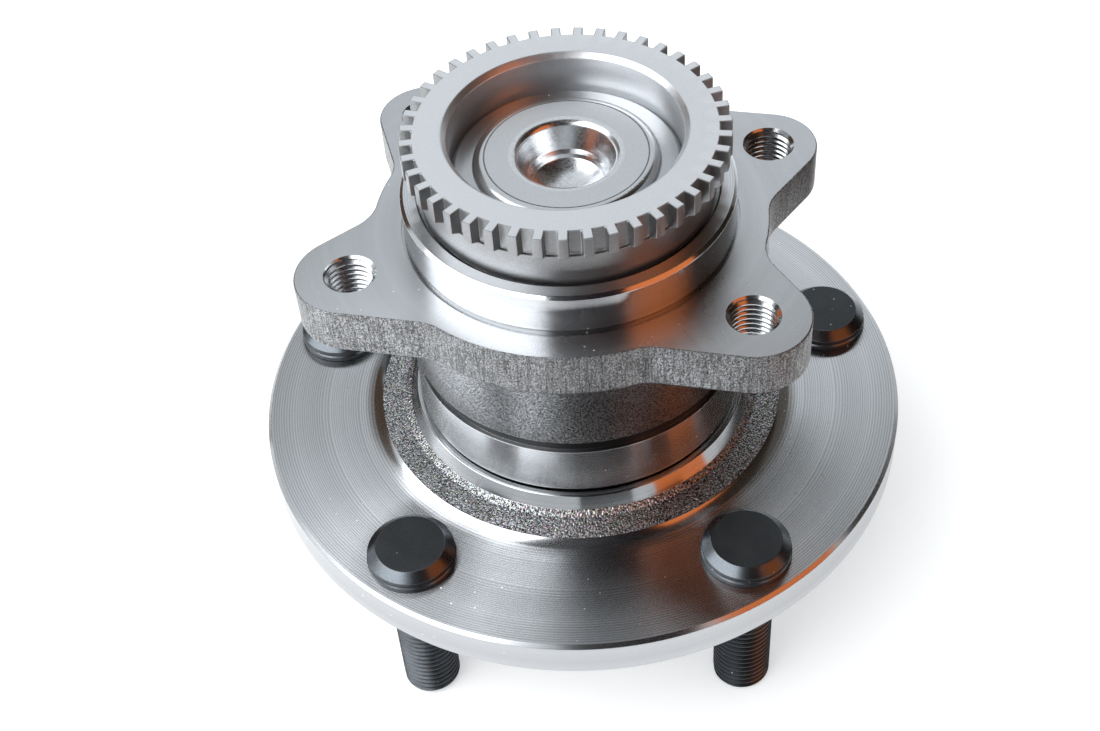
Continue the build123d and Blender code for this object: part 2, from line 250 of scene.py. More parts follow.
# Fine lines that a turning tool leaves, running round the axis on faces, cones and bores alike
def makeTurningMarks():
    group, given, made = newGroup("turningMarks", {"pitch": 0.45, "wander": 0.5}, ("height", "streak"))
    split = addNode(group, "ShaderNodeSeparateXYZ", {0: objectSpot(group)})
    flat = addNode(group, "ShaderNodeCombineXYZ", {0: split.outputs[0], 1: split.outputs[1]})
    radius = addNode(group, "ShaderNodeVectorMath", {0: flat.outputs[0]}, operation="LENGTH").outputs["Value"]
    # Height counts a little less than radius, so that a 45 degree bevel keeps its lines too
    along = calc(group, "MULTIPLY_ADD", split.outputs[2], 0.83, radius)
    along = calc(group, "DIVIDE", calc(group, "MULTIPLY", along, 1000), given.outputs["pitch"])
    slow = addNode(group, "ShaderNodeTexNoise",
                   {"W": calc(group, "MULTIPLY", along, 0.11), "Scale": 1.0, "Detail": 3.0},
                   noise_dimensions="1D").outputs["Fac"]
    quick = addNode(group, "ShaderNodeTexNoise", {"W": along, "Scale": 1.7, "Detail": 2.0},
                    noise_dimensions="1D").outputs["Fac"]
    bent = calc(group, "MULTIPLY_ADD", slow, 3.0, along)
    wave = calc(group, "SINE", calc(group, "MULTIPLY", bent, math.tau))
    regular = calc(group, "MULTIPLY_ADD", wave, 0.5, 0.5)
    group.links.new(mixValue(group, given.outputs["wander"], regular, quick), made.inputs["height"])
    group.links.new(slow, made.inputs["streak"])
    return group


# Lumps, pits and bright specks of a forged or sintered skin; makeForgedSteel paints the specks light as sparkle
def makeForgedGrain():
    group, given, made = newGroup("forgedGrain", {"size": 0.8, "stretch": (1.0, 1.0, 1.0), "pitting": 0.5},
                                  ("height", "speck", "patch"))
    spot = addNode(group, "ShaderNodeVectorMath", {0: objectSpot(group), 1: given.outputs["stretch"]},
                   operation="MULTIPLY").outputs[0]
    scale = calc(group, "DIVIDE", 1000.0, given.outputs["size"])
    lumps = addNode(group, "ShaderNodeTexNoise", {"Vector": spot, "Scale": scale, "Detail": 5.0, "Roughness": 0.62})
    pits = addNode(group, "ShaderNodeTexVoronoi", {"Vector": spot, "Scale": calc(group, "MULTIPLY", scale, 1.1)},
                   feature="SMOOTH_F1")
    fine = addNode(group, "ShaderNodeTexNoise",
                   {"Vector": spot, "Scale": calc(group, "MULTIPLY", scale, 1.7), "Detail": 2.0, "Roughness": 0.6})
    broad = addNode(group, "ShaderNodeTexNoise",
                    {"Vector": spot, "Scale": calc(group, "MULTIPLY", scale, 0.07), "Detail": 3.0})
    pitDepth = calc(group, "MULTIPLY", pits.outputs["Distance"], given.outputs["pitting"])
    group.links.new(calc(group, "ADD", lumps.outputs["Fac"], pitDepth), made.inputs["height"])
    speck = addNode(group, "ShaderNodeMapRange", {"Value": fine.outputs["Fac"], "From Min": 0.47, "From Max": 0.6})
    group.links.new(speck.outputs[0], made.inputs["speck"])
    group.links.new(broad.outputs["Fac"], made.inputs["patch"])
    return group


# Soft smudges from handling, and a few tiny nicks painted near-white as bright glints
def makeHandling():
    group, given, made = newGroup("handling", {"size": 18.0}, ("smudge", "glint"))
    spot = objectSpot(group)
    scale = calc(group, "DIVIDE", 1000.0, given.outputs["size"])
    smudge = addNode(group, "ShaderNodeTexNoise", {"Vector": spot, "Scale": scale, "Detail": 4.0, "Roughness": 0.6})
    glintCells = addNode(group, "ShaderNodeTexVoronoi", {"Vector": spot, "Scale": 420.0})
    chance = addNode(group, "ShaderNodeSeparateColor", {0: glintCells.outputs["Color"]}).outputs[0]
    chosen = calc(group, "GREATER_THAN", chance, 0.6)
    small = addNode(group, "ShaderNodeMapRange",
                    {"Value": glintCells.outputs["Distance"], "From Min": 0.085, "From Max": 0.04}).outputs[0]
    group.links.new(smudge.outputs["Fac"], made.inputs["smudge"])
    group.links.new(calc(group, "MULTIPLY", small, chosen), made.inputs["glint"])
    return group


turningMarks = makeTurningMarks()
forgedGrain = makeForgedGrain()
handling = makeHandling()


# Runs along the turning lines; with a quarter turn of anisotropy the highlights stretch across them
def turningTangent(tree):
    around = addNode(tree, "ShaderNodeVectorMath", {0: up, 1: objectSpot(tree)}, operation="CROSS_PRODUCT").outputs[0]
    return addNode(tree, "ShaderNodeVectorTransform", {0: around}, vector_type="VECTOR", convert_from="OBJECT",
                   convert_to="WORLD").outputs[0]


def addSurface(tree, base, roughness, height, bump, depth, metallic=1.0, tangent=None, **fixed):
    relief = addNode(tree, "ShaderNodeBump", {"Height": height, "Strength": bump, "Distance": depth * mm})
    inputs = {"Base Color": base, "Roughness": roughness, "Metallic": metallic, "Normal": relief.outputs[0]}
    if tangent is not None:
        inputs["Tangent"] = tangent
    skin = addNode(tree, "ShaderNodeBsdfPrincipled", inputs)
    for name, value in fixed.items():
        skin.inputs[name.replace("_", " ")].default_value = value
    addNode(tree, "ShaderNodeOutputMaterial", {"Surface": skin.outputs[0]})


def grey(level, tint=0.0):
    return (level * (1 - tint), level, level * (1 + tint), 1)


def makeTurnedSteel(name, bright, roughness, pitch, wander, anisotropy, bump, lines=0.08, depth=0.012, tint=0.02):
    material, tree = bareMaterial(name)
    marks = place(tree, turningMarks, pitch=pitch, wander=wander)
    touch = place(tree, handling, size=22.0)
    shade = mixValue(tree, marks["streak"], 0.9, 1.08)
    shade = calc(tree, "MULTIPLY", shade, mixValue(tree, marks["height"], 1 - lines, 1 + lines))
    shade = calc(tree, "MULTIPLY", shade, mixValue(tree, touch["smudge"], 0.92, 1.06))
    shade = calc(tree, "MULTIPLY", shade, bright)
    colour = addNode(tree, "ShaderNodeCombineColor", {0: calc(tree, "MULTIPLY", shade, 1 - tint), 1: shade,
                                                      2: calc(tree, "MULTIPLY", shade, 1 + tint)}).outputs[0]
    # Painted glints: tiny near-white dots where nicks catch the light, rougher than the steel round them
    colour = mixColour(tree, touch["glint"], colour, (0.95, 0.95, 0.95, 1))
    rough = calc(tree, "ADD", roughness, calc(tree, "MULTIPLY", calc(tree, "SUBTRACT", touch["smudge"], 0.5), 0.1))
    rough = calc(tree, "ADD", rough, calc(tree, "MULTIPLY", touch["glint"], 0.5))
    addSurface(tree, colour, rough, marks["height"], bump, depth, tangent=turningTangent(tree),
               Anisotropic=anisotropy, Anisotropic_Rotation=0.25)
    return material


# Levels are the gain and shift that turn the grain's height into colour: painted light on the lumps and painted shade
# in the pits
def makeForgedSteel(name, dark, bright, size, roughness, bump, depth, stretch=(1.0, 1.0, 1.0), pitting=0.5,
                    specks=0.6, streaks=0.0, tint=0.01, sparkleTint=0.0, levels=(1.6, -0.7)):
    material, tree = bareMaterial(name)
    grain = place(tree, forgedGrain, size=size, stretch=stretch, pitting=pitting)
    # Painted light and shade: higher grain lighter, pits darker
    paintedShading = calc(tree, "MULTIPLY_ADD", grain["height"], *levels, clamp=True)
    colour = mixColour(tree, paintedShading, grey(dark, tint), grey((dark + bright) / 2, tint))
    # Painted sparkle: the specks take the bright colour, tinted random colours in some finishes
    paintedSparkle = grey(bright, tint)
    if sparkleTint:
        cells = addNode(tree, "ShaderNodeTexVoronoi", {"Vector": objectSpot(tree), "Scale": 3000.0}).outputs["Color"]
        paintedSparkle = mixColour(tree, sparkleTint, paintedSparkle, cells)
    colour = mixColour(tree, calc(tree, "MULTIPLY", grain["speck"], specks), colour, paintedSparkle)
    colour = mixColour(tree, calc(tree, "MULTIPLY", grain["patch"], 0.4), colour, grey(dark, -0.03))
    if streaks:
        shear = place(tree, forgedGrain, size=0.7, stretch=(1.0, 1.0, 0.07), pitting=0.0)
        colour = mixColour(tree, calc(tree, "MULTIPLY", shear["speck"], streaks), colour, grey(dark * 0.6))
    rough = mixValue(tree, grain["speck"], roughness, roughness * 0.7)
    addSurface(tree, colour, rough, grain["height"], bump, depth)
    return material


flangeSteel = makeTurnedSteel(
    "turnedFlangeSteel", bright=0.56, roughness=0.225, pitch=0.5, wander=0.25, anisotropy=1.0, bump=0.22, lines=0.2,
)
turnedSteel = makeTurnedSteel(
    "turnedSteel", bright=0.48, roughness=0.22, pitch=0.3, wander=0.7, anisotropy=0.8, bump=0.25,
)
mirrorSteel = makeTurnedSteel(
    "mirrorTurnedSteel", bright=0.48, roughness=0.13, pitch=0.22, wander=0.85, anisotropy=0.8, bump=0.12,
)
coveSteel = makeTurnedSteel(
    "turnedCoveSteel", bright=0.6, roughness=0.17, pitch=0.25, wander=0.8, anisotropy=0.6, bump=0.12,
)
spigotSteel = makeTurnedSteel(
    "turnedSpigotSteel", bright=0.64, roughness=0.17, pitch=0.25, wander=0.85, anisotropy=0.8, bump=0.12,
)
collarSteel = makeTurnedSteel(
    "turnedCollarSteel", bright=0.51, roughness=0.22, pitch=0.4, wander=0.8, anisotropy=0.97, bump=0.2, lines=0.12,
)
mouthSteel = makeTurnedSteel(
    "turnedMouthSteel", bright=0.62, roughness=0.2, pitch=0.35, wander=0.6, anisotropy=0.8, bump=0.22, lines=0.14,
)
# The relief groove under the cone's overhang is painted near-black as its shadow
reliefShadowSteel = makeTurnedSteel(
    "reliefPaintedShadow", bright=0.04, roughness=0.4, pitch=0.3, wander=0.8, anisotropy=0.4, bump=0.2,
)
polishedHead = makeTurnedSteel(
    "rolledHeadSteel", bright=0.6, roughness=0.2, pitch=0.6, wander=0.9, anisotropy=0.3, bump=0.1,
)
groundSteel = makeTurnedSteel(
    "groundSteel", bright=0.56, roughness=0.18, pitch=0.12, wander=0.95, anisotropy=0.6, bump=0.1, lines=0.04,
)
knuckleSteel = makeTurnedSteel(
    "turnedKnuckleFace", bright=0.54, roughness=0.28, pitch=0.35, wander=0.5, anisotropy=0.8, bump=0.25, lines=0.08,
)
threadSteel = makeTurnedSteel(
    "threadSteel", bright=0.55, roughness=0.2, pitch=0.2, wander=0.9, anisotropy=0.2, bump=0.2,
)
headFlatSteel = makeForgedSteel(
    "rolledHeadFace", dark=0.55, bright=0.68, size=0.5, roughness=0.42, bump=0.14, depth=0.02, pitting=0.3, specks=0.3,
    tint=0.04,
)
headEdgeSteel = makeForgedSteel(
    "rolledHeadEdge", dark=0.06, bright=0.4, size=0.4, roughness=0.3, bump=0.5, depth=0.05, pitting=0.7,
)
headHoleSteel = makeForgedSteel(
    "rolledHeadHole", dark=0.6, bright=0.8, size=0.9, roughness=0.26, bump=0.1, depth=0.03, pitting=0.6, specks=0.3,
    tint=0.03,
)
forgedSteel = makeForgedSteel(
    "forgedSteel", dark=0.02, bright=0.95, size=0.42, roughness=0.29, bump=0.55, depth=0.12, specks=0.5,
    levels=(3.2, -2.0),
)
forgedRimSteel = makeForgedSteel(
    "forgedRimSteel", dark=0.04, bright=0.8, size=0.42, roughness=0.4, bump=0.6, depth=0.1, stretch=(1.0, 1.0, 0.7),
    streaks=0.45,
)
pebbledSteel = makeForgedSteel(
    "pebbledSteel", dark=0.008, bright=1.0, size=0.42, roughness=0.25, bump=0.9, depth=0.2, pitting=0.9, specks=0.7,
    sparkleTint=0.35, levels=(5.0, -4.1),
)
sinteredIron = makeForgedSteel(
    "sinteredIron", dark=0.3, bright=0.46, size=0.35, roughness=0.42, bump=0.3, depth=0.05, pitting=0.6, specks=0.4,
    tint=0.02,
)
sinteredBore = makeForgedSteel(
    "sinteredBore", dark=0.6, bright=0.78, size=0.35, roughness=0.4, bump=0.2, depth=0.04, specks=0.3, tint=0.03,
)
# The tone ring's top face: machined, and painted lighter than the sintered sides as light falling on it
sinteredTopLit = makeForgedSteel(
    "machinedSinteredTopLit", dark=0.68, bright=0.8, size=0.35, roughness=0.45, bump=0.14, depth=0.03, pitting=0.4,
    specks=0.3, tint=0.03,
)
print("steel finishes ready")


def makePhosphate(name, dark, bright, roughness, metallic):
    material, tree = bareMaterial(name)
    grain = place(tree, forgedGrain, size=0.35, pitting=0.5)
    touch = place(tree, handling, size=9.0)
    colour = mixColour(tree, grain["patch"], grey(dark, 0.12), grey((dark + bright) / 2, 0.08))
    colour = mixColour(tree, calc(tree, "MULTIPLY", grain["speck"], 0.35), colour, grey(bright, 0.05))
    # Painted glints: small lighter dots where nicks catch the light
    colour = mixColour(tree, touch["glint"], colour, (0.5, 0.52, 0.55, 1))
    rough = mixValue(tree, touch["smudge"], roughness * 0.8, roughness * 1.2)
    addSurface(tree, colour, rough, grain["height"], 0.25, 0.02, metallic=metallic)
    return material


def makeSealRubber():
    material, tree = bareMaterial("sealRubber")
    grain = place(tree, forgedGrain, size=0.5, pitting=0.3)
    colour = mixColour(tree, grain["patch"], (0.018, 0.018, 0.019, 1), (0.035, 0.034, 0.034, 1))
    addSurface(tree, colour, mixValue(tree, grain["speck"], 0.62, 0.45), grain["height"], 0.15, 0.02, metallic=0.0)
    return material


def makeCageNylon():
    material, tree = bareMaterial("cageNylon")
    grain = place(tree, forgedGrain, size=0.6, stretch=(1.0, 1.0, 0.3), pitting=0.2)
    colour = mixColour(tree, grain["patch"], (0.1, 0.08, 0.055, 1), (0.15, 0.12, 0.085, 1))
    colour = mixColour(tree, calc(tree, "MULTIPLY", grain["speck"], 0.3), colour, (0.24, 0.2, 0.15, 1))
    addSurface(tree, colour, mixValue(tree, grain["speck"], 0.45, 0.36), grain["height"], 0.1, 0.02, metallic=0.0)
    return material


phosphate = makePhosphate("blackPhosphate", dark=0.02, bright=0.08, roughness=0.36, metallic=0.6)
# Stud head chamfers: phosphate rubbed thin, and painted lighter and more metallic than the tops as their highlight
phosphateWearAndHighlight = makePhosphate("rubbedPhosphateLit", dark=0.1, bright=0.2, roughness=0.27, metallic=1.0)
phosphateThread = makePhosphate("threadPhosphate", dark=0.035, bright=0.13, roughness=0.3, metallic=1.0)
sealRubber = makeSealRubber()
cageNylon = makeCageNylon()
sealSheet = makeTurnedSteel(
    "sealSheetSteel", bright=0.5, roughness=0.28, pitch=0.5, wander=0.9, anisotropy=0.3, bump=0.1,
)
ballSteel = makeTurnedSteel("ballSteel", bright=0.68, roughness=0.06, pitch=0.8, wander=1.0, anisotropy=0.0, bump=0.02)

# The inner pieces keep their CAD shapes
finishOfNode = {
    "ball": ballSteel, "cage": cageNylon, "seal_case": sealSheet, "slinger": sealSheet, "seal_lips": sealRubber,
}
for nodeName, nodeObject in nodes.items():
    for word, finish in finishOfNode.items():
        if word in nodeName:
            nodeObject.data.materials.clear()
            nodeObject.data.materials.append(finish)
print("inner pieces finished")


# Turned shapes: a profile of (radius, height, round, finish) corners in mm, spun about the axis.
# A corner's finish is that of the strip from it to the next corner.

roundSegments = {0.4: 2, 1: 4, 4: 8, math.inf: 14}      # for rounds below each size
axisSteps = 256
sharpAngle = 32
weldDistance = 1e-6
orderDirection = Vector((1, 0.618, 0.317))
levelTolerance = 2e-7


def spin(bm, geom, degrees, steps, centre=(0, 0), rise=0.0, join=False, copies=False):
    return bmesh.ops.spin(bm, geom=geom, cent=(centre[0] * mm, centre[1] * mm, 0), axis=up, dvec=(0, 0, rise * mm),
                          angle=math.radians(degrees), steps=steps, use_merge=join, use_normal_flip=False,
                          use_duplicate=copies)["geom_last"]


def bevel(bm, geom, size, segments, kind="EDGES"):
    bmesh.ops.bevel(bm, geom=geom, offset=size, offset_type="OFFSET", segments=segments, profile=0.5, affect=kind,
                    material=-1)


def onlyVerts(parts):
    return [part for part in parts if isinstance(part, bmesh.types.BMVert)]


def edgesOf(verts):
    return list({edge for vert in verts for edge in vert.link_edges})


def onLevel(verts, level):
    return all(abs(vert.co.z - level) < levelTolerance for vert in verts)


def compass(degrees):
    return Vector((math.cos(math.radians(degrees)), math.sin(math.radians(degrees)), 0))


def roundCorner(bm, vert, size):
    first, second = [edge.other_vert(vert).co - vert.co for edge in vert.link_edges]
    reach = size * mm * math.tan((math.pi - first.angle(second)) / 2)
    bevel(bm, [vert], reach, next(count for limit, count in roundSegments.items() if size < limit), "VERTICES")


def nearestFinish(corners, closed, radius, height):
    spot = Vector((radius, height))
    ends = corners[1:] + (corners[:1] if closed else [])
    best = (math.inf, 0)
    for start, end in zip(corners, ends):
        share = geometry.intersect_point_line(spot, Vector(start[:2]), Vector(end[:2]))[1]
        share = min(max(share, 0), 1)
        gap = (spot - Vector(start[:2]).lerp(Vector(end[:2]), share)).length
        if gap < best[0]:
            best = (gap, start[3])
    return best[1]


def spinProfile(bm, corners, steps=axisSteps, closed=False):
    oldVerts, oldFaces = set(bm.verts), set(bm.faces)
    line = [bm.verts.new((corner[0] * mm, 0, corner[1] * mm)) for corner in corners]
    pairs = list(zip(line, line[1:])) + ([(line[-1], line[0])] if closed else [])
    for start, end in pairs:
        bm.edges.new((start, end))
    for vert, corner in zip(line, corners):
        if corner[2]:
            roundCorner(bm, vert, corner[2])
    fresh = [vert for vert in bm.verts if vert not in oldVerts]
    spin(bm, fresh + edgesOf(fresh), 360, steps, join=True)
    known = {}
    for face in bm.faces:
        if face not in oldFaces:
            middle = face.calc_center_median() / mm
            key = (round(middle.xy.length, 3), round(middle.z, 3))
            if key not in known:
                known[key] = nearestFinish(corners, closed, *key)
            face.material_index = known[key]


def closeShape(bm):
    bmesh.ops.remove_doubles(bm, verts=bm.verts, dist=weldDistance)
    bmesh.ops.recalc_face_normals(bm, faces=bm.faces)


def finishPiece(name, bm, finishes, body, nodeName):
    mesh = bpy.data.meshes.new(name)
    bm.to_mesh(mesh)
    bm.free()
    for finish in finishes:
        mesh.materials.append(finish)
    mesh.shade_smooth()
    mesh.set_sharp_from_angle(angle=math.radians(sharpAngle))
    piece = bpy.data.objects.new(name, mesh)
    scene.collection.objects.link(piece)
    weighted = piece.modifiers.new("weightedNormals", "WEIGHTED_NORMAL")
    weighted.keep_sharp = True
    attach(piece, body)
    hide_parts(nodeName)


# A corner whose round is the ball groove between two lands, seen in the half section
def grooveCorner(centreRadius, centreHeight, size, startAngle, endAngle, finish):
    half = math.radians(endAngle - startAngle) / 2
    middle = math.radians(startAngle + endAngle) / 2
    reach = size / math.cos(half)
    return (centreRadius + reach * math.cos(middle), centreHeight + reach * math.sin(middle), size, finish)


# Fills a flat face at one height between its outer edge and every hole in it
def fillFlat(bm, height, finish):
    level = height * mm
    rims = [edge for edge in bm.edges if edge.is_boundary and onLevel(edge.verts, level)]
    made = bmesh.ops.triangle_fill(bm, use_beauty=True, use_dissolve=False, edges=rims, normal=up)
    for face in made["geom"]:
        if isinstance(face, bmesh.types.BMFace):
            face.material_index = finish


# One turn of a thread: how far along its pitch each corner lies, and whether it is at the outer radius
threadForm = ((0.0, False), (0.2, False), (0.56, True), (0.69, True))
threadSteps = 48
threadWeld = 2e-6


# A tube with a helical thread, cut off level at both ends; limit gives the radius that it has at a height
def threadTube(bm, centre, low, high, inner, outer, pitch, limit, finish):
    oldVerts, oldFaces = set(bm.verts), set(bm.faces)
    line = []
    height = low - 1.5 * pitch
    while height < high + 1.5 * pitch:
        for share, raised in threadForm:
            line.append(bm.verts.new(((outer if raised else inner) * mm, 0, (height + share * pitch) * mm)))
        height += pitch
    for start, end in zip(line, line[1:]):
        bm.edges.new((start, end))
    spin(bm, line + edgesOf(line), 360, threadSteps, rise=pitch / threadSteps)
    bmesh.ops.remove_doubles(bm, verts=[v for v in bm.verts if v not in oldVerts], dist=threadWeld)
    for level, side in ((low, -1), (high, 1)):
        fresh = [v for v in bm.verts if v not in oldVerts]
        geom = fresh + edgesOf(fresh) + [f for f in bm.faces if f not in oldFaces]
        bmesh.ops.bisect_plane(bm, geom=geom, dist=1e-7, plane_co=(0, 0, level * mm), plane_no=(0, 0, side),
                               clear_outer=True, clear_inner=False)
    fresh = [v for v in bm.verts if v not in oldVerts]
    for vert in fresh:
        radius = vert.co.xy.length
        wanted = limit(vert.co.z / mm, radius / mm) * mm
        vert.co.xy *= wanted / radius
    bmesh.ops.translate(bm, vec=(centre[0] * mm, centre[1] * mm, 0), verts=fresh)
    for face in bm.faces:
        if face not in oldFaces:
            face.material_index = finish


# Ball grooves and seats where two pieces meet, as in the CAD

seats = {
    "groove": 4.953, "innerGroove": (24.774, 28.054, 52.946), "outerGroove": (24.626, 27.951, 53.049),
    "race": 22.641, "land": 20.271, "spindle": 15.0, "ringFoot": 45.9975, "ringTop": 72.8,
}

# Hub: wheel flange, pilots, spindle with its raceway, and the head formed over the inner ring

hub = {
    "wheelFace": 0.0, "flangeFace": 9.0, "flangeRadius": 68.7, "faceStart": 48.0,
    "studCircle": 57.15, "studTurn": 28.15, "studCount": 5, "studHole": 6.42, "studChamfer": 0.5, "studSteps": 64,
}


def studPlace(number):
    return compass(hub["studTurn"] + number * 360 / hub["studCount"]) * hub["studCircle"] * mm


def makeHub():
    turnedPart, cove, pebble, headSide, forged, ground, face, headFlat, headEdge, headHole, guard = range(11)
    low, high, flange, start = hub["wheelFace"], hub["flangeFace"], hub["flangeRadius"], hub["faceStart"]
    race, land, spindle, ringFoot, ringTop = [seats[k] for k in ("race", "land", "spindle", "ringFoot", "ringTop")]
    grooveRadius, grooveHeight, _ = seats["innerGroove"]
    groove = grooveCorner(grooveRadius, grooveHeight, seats["groove"], 244.5, 155.4, ground)
    fromHollowToFace = [
        (0, 20.0, 0, forged), (9.0, 20.0, 7.0, forged), (25.5, -14.0, 0.5, turnedPart), (28.8, -14.0, 0.2, turnedPart),
        (30.0, -12.8, 0.2, turnedPart), (30.0, -7.0, 0, turnedPart), (30.8, -7.0, 0.15, turnedPart),
        (32.0, -5.8, 0.15, turnedPart), (32.0, -0.8, 0, turnedPart), (31.6, -0.8, 0, turnedPart),
        (31.6, 0.4, 0, turnedPart), (32.6, 0.4, 0, turnedPart), (32.6, low, 0, turnedPart),
    ]
    rim = [
        (flange - 1, low, 0, turnedPart), (flange, low + 1, 0.25, turnedPart),
        (flange, high - 0.75, 0.2, turnedPart), (flange - 0.75, high, 0, face),
    ]
    fromFaceToHead = [
        (start, high, 0, face), (45.2, high, 7.5, cove), (43.2, 10.25, 0.3, pebble), (38.3, 10.6, 0.4, pebble),
        (36.9, 11.4, 0.25, guard), (35.4, 14.0, 0.35, guard), (33.9, 14.0, 0.2, guard), (33.9, 11.4, 0.4, turnedPart),
        (race, 11.4, 6.0, ground), (race, 23.584, 0, ground), groove,
        (land, 30.117, 0, ground), (land, ringFoot, 0.2, ground), (spindle, ringFoot, 0, ground),
        (spindle, ringTop - 1.5, 0, ground), (spindle + 1.5, ringTop, 0, headSide),
        (18.3, ringTop, 0, headSide), (17.9, 74.7, 2.05, headSide), (16.05, 74.7, 0, headEdge),
        (15.75, 74.7, 0, headFlat), (11.2, 74.7, 0, headHole), (9.7, 74.7, 1.6, headHole), (7.9, 69.2, 1.2, headHole),
        (7.3, 68.3, 0.2, headHole), (7.0, 67.5, 0.3, headHole), (6.3, 67.1, 0.3, headHole), (0, 63.2, 0, headHole),
    ]
    bm = bmesh.new()
    spinProfile(bm, fromHollowToFace)
    spinProfile(bm, rim)
    spinProfile(bm, fromFaceToHead)
    hole, chamfer = hub["studHole"], hub["studChamfer"]
    corners = [(hole + chamfer, low, 0, turnedPart), (hole, low + chamfer, 0, turnedPart), (hole, high, 0, turnedPart)]
    for number in range(hub["studCount"]):
        oldVerts = set(bm.verts)
        spinProfile(bm, corners, steps=hub["studSteps"])
        fresh = [v for v in bm.verts if v not in oldVerts]
        bmesh.ops.translate(bm, vec=studPlace(number), verts=fresh)
    fillFlat(bm, low, face)
    fillFlat(bm, high, face)
    closeShape(bm)
    finishes = [turnedSteel, coveSteel, pebbledSteel, polishedHead, forgedSteel, groundSteel, flangeSteel,
                headFlatSteel, headEdgeSteel, headHoleSteel, mirrorSteel]
    finishPiece("hubForging", bm, finishes, "turning_side", "hub")


makeHub()
print("hub ready")


# Outer ring: collar, forged cone, knuckle flange with four tapped ears, spigot, raceways

outerRing = {
    "rim": 39.4, "flangeFoot": 48.6, "face": 58.8, "faceInner": 33.6, "coneTop": 38.2,
    "lowerHole": (39.1, -22.7), "lowerEar": 11.0, "upperHole": (36.3, 26.9), "upperEar": 9.9,
    "waist": 38.2, "waistLower": -5.0, "waistUpper": 8.6, "sideBlend": 9.0, "endBlend": 9.0,
    "threadMinor": 4.35, "threadMajor": 5.0, "threadPitch": 1.25, "holeChamfer": 0.9,
    "footRound": 0.9, "faceRound": 0.28, "arcStep": 2.5,
}


def drawLine(bm, vert, point):
    tip = bmesh.ops.extrude_vert_indiv(bm, verts=[vert])["verts"][0]
    tip.co = (point[0] * mm, point[1] * mm, vert.co.z)
    return tip


def drawArc(bm, vert, centre, degrees):
    steps = max(4, round(abs(degrees) / outerRing["arcStep"]))
    return onlyVerts(spin(bm, [vert], degrees, steps, centre))[0]


# Where an ear's slanted side meets the round rim: heading of the side, and centre of the blend between them
def waistBlend(hole, earRadius, waistHeight, side):
    across = hole[0] - outerRing["waist"]
    along = abs(hole[1] - waistHeight)
    lean = math.atan2(across, along) + math.asin(earRadius / math.hypot(across, along))
    outward = Vector((math.cos(lean), -side * math.sin(lean)))
    forward = Vector((math.sin(lean), side * math.cos(lean)))
    offset = outward.dot(Vector((outerRing["waist"], waistHeight))) + outerRing["sideBlend"]
    slide = math.sqrt((outerRing["rim"] + outerRing["sideBlend"]) ** 2 - offset ** 2)
    centre = outward * offset + forward * slide
    return math.degrees(lean), centre, centre - outward * outerRing["sideBlend"]


# From the front round the right side to the back, then mirrored
def drawKnuckleOutline(bm):
    rim, blend = outerRing["rim"], outerRing["endBlend"]
    lower, upper = Vector(outerRing["lowerHole"]), Vector(outerRing["upperHole"])
    vert = bm.verts.new((0, -rim * mm, outerRing["flangeFoot"] * mm))
    edge = -lower.y + outerRing["lowerEar"]
    start = math.sqrt((rim + blend) ** 2 - (edge + blend) ** 2)
    turn = math.degrees(math.atan2(start, edge + blend))
    vert = drawArc(bm, vert, (0, 0), turn)
    vert = drawArc(bm, vert, (start, -edge - blend), -turn)
    vert = drawLine(bm, vert, (lower.x, -edge))
    lean, centre, touch = waistBlend(lower, outerRing["lowerEar"], outerRing["waistLower"], -1)
    vert = drawArc(bm, vert, lower, 90 + lean)
    vert = drawLine(bm, vert, touch)
    rimStart = math.degrees(math.atan2(centre.y, centre.x))
    vert = drawArc(bm, vert, centre, rimStart - lean)
    lean, centre, touch = waistBlend(upper, outerRing["upperEar"], outerRing["waistUpper"], 1)
    rimEnd = math.degrees(math.atan2(centre.y, centre.x))
    vert = drawArc(bm, vert, (0, 0), rimEnd - rimStart)
    vert = drawArc(bm, vert, centre, -rimEnd - lean)
    edge = upper.y + outerRing["upperEar"]
    vert = drawLine(bm, vert, upper + compass(-lean).xy * outerRing["upperEar"])
    vert = drawArc(bm, vert, upper, 90 + lean)
    start = math.sqrt((rim + blend) ** 2 - (edge + blend) ** 2)
    turn = math.degrees(math.atan2(start, edge + blend))
    vert = drawLine(bm, vert, (start, edge))
    vert = drawArc(bm, vert, (start, edge + blend), -turn)
    drawArc(bm, vert, (0, 0), turn)
    bmesh.ops.mirror(bm, geom=bm.verts[:] + bm.edges[:], matrix=Matrix.Identity(4), merge_dist=weldDistance, axis="X")
    bmesh.ops.remove_doubles(bm, verts=bm.verts, dist=2 * weldDistance)


# Only the edge of the knuckle flange; its faces are filled once the holes are in
def makeKnucklePlate(side):
    plate = bmesh.new()
    drawKnuckleOutline(plate)
    bmesh.ops.contextual_create(plate, geom=plate.edges)
    foot, top = outerRing["flangeFoot"], outerRing["face"]
    made = bmesh.ops.extrude_face_region(plate, geom=plate.faces)
    bmesh.ops.translate(plate, vec=up * (top - foot) * mm, verts=onlyVerts(made["geom"]))
    for level, size, segments in ((foot, outerRing["footRound"], 4), (top, outerRing["faceRound"], 2)):
        bevel(plate, [e for e in plate.edges if onLevel(e.verts, level * mm)], size * mm, segments)
    for face in plate.faces:
        face.material_index = side
    caps = [f for f in plate.faces if len(f.verts) > 4 and onLevel(f.verts, f.verts[0].co.z)]
    bmesh.ops.delete(plate, geom=caps, context="FACES_ONLY")
    return plate


